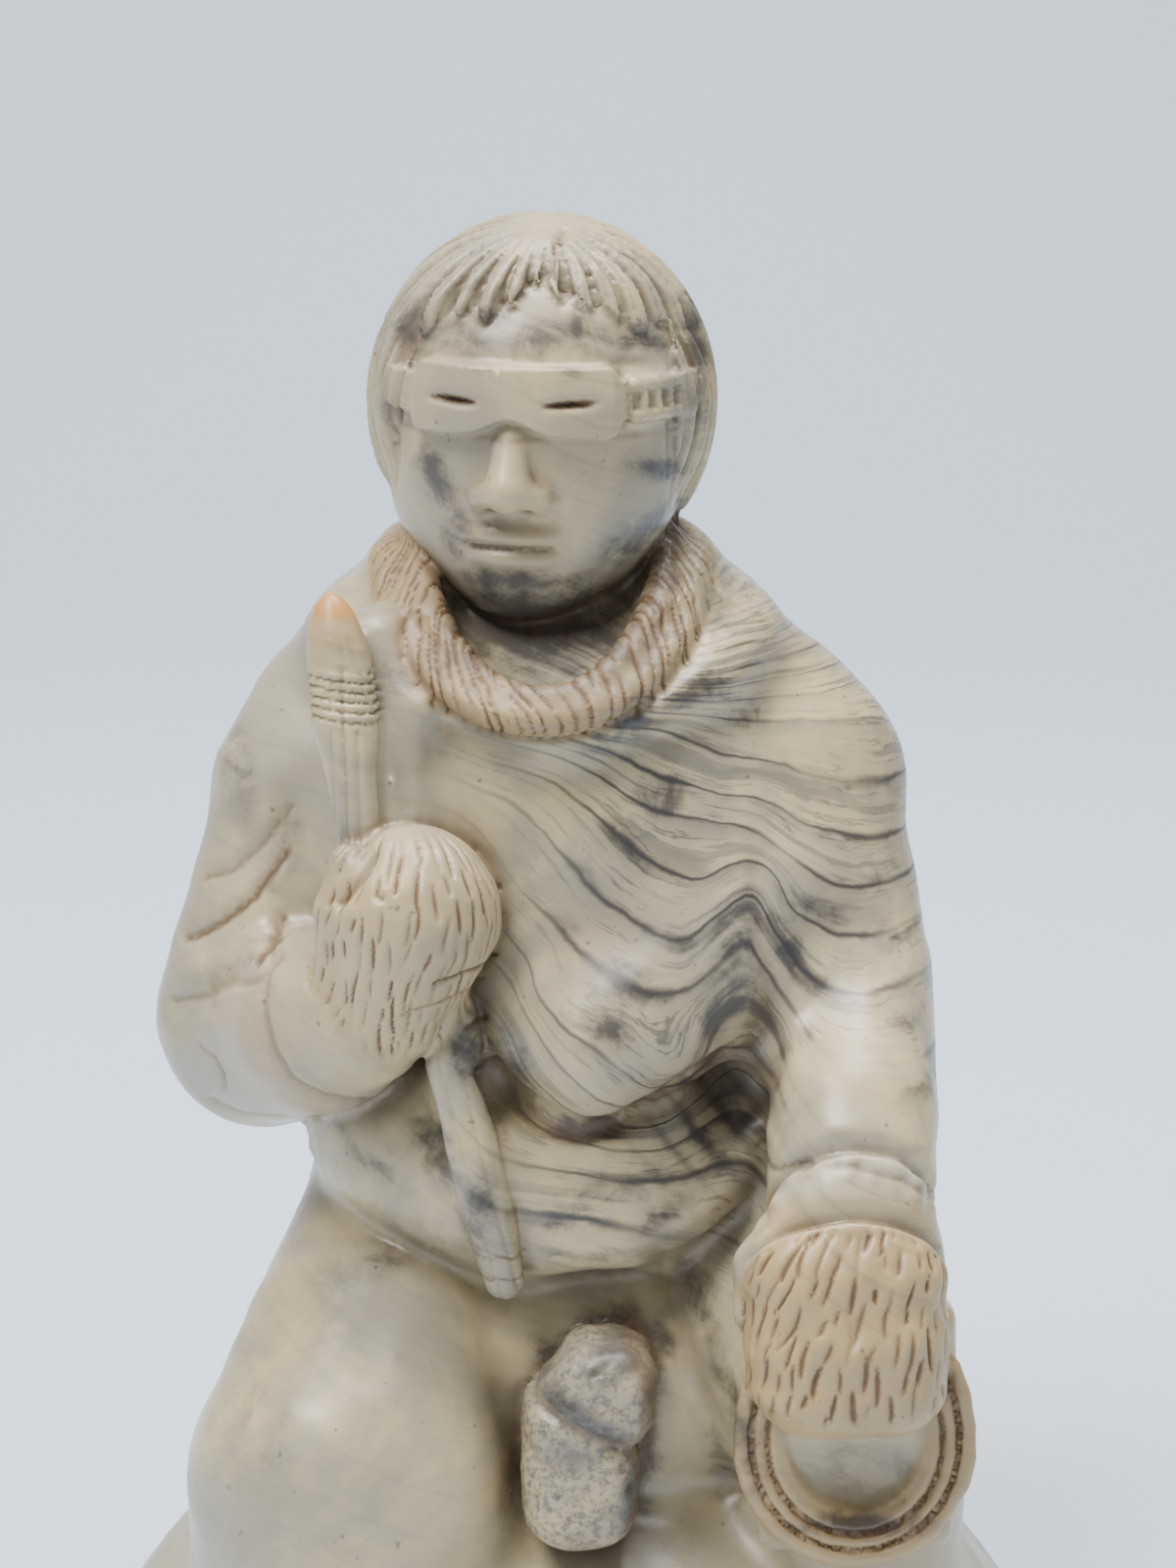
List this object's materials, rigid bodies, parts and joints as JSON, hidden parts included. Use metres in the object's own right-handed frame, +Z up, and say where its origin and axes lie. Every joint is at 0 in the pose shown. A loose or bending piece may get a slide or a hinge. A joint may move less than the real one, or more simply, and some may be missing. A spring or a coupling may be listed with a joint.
{
  "type": "soapstone hunter sculpture",
  "caption": "Carved soapstone figure of a kneeling hunter in a parka and snow goggles, holding a harpoon and a coil of rope, on a low flat-based mound.",
  "frame": {"origin": "middle of the flat underside, on the surface the sculpture stands on", "axes": "+Z up, the figure faces -Y, +X towards the figure's left hand with the rope"},
  "size_m": [0.1609, 0.133, 0.2395],
  "materials": {
    "soapstone": "satin"
  },
  "bodies": {
    "root": {"hunter": "soapstone"}
  },
  "joints": []
}
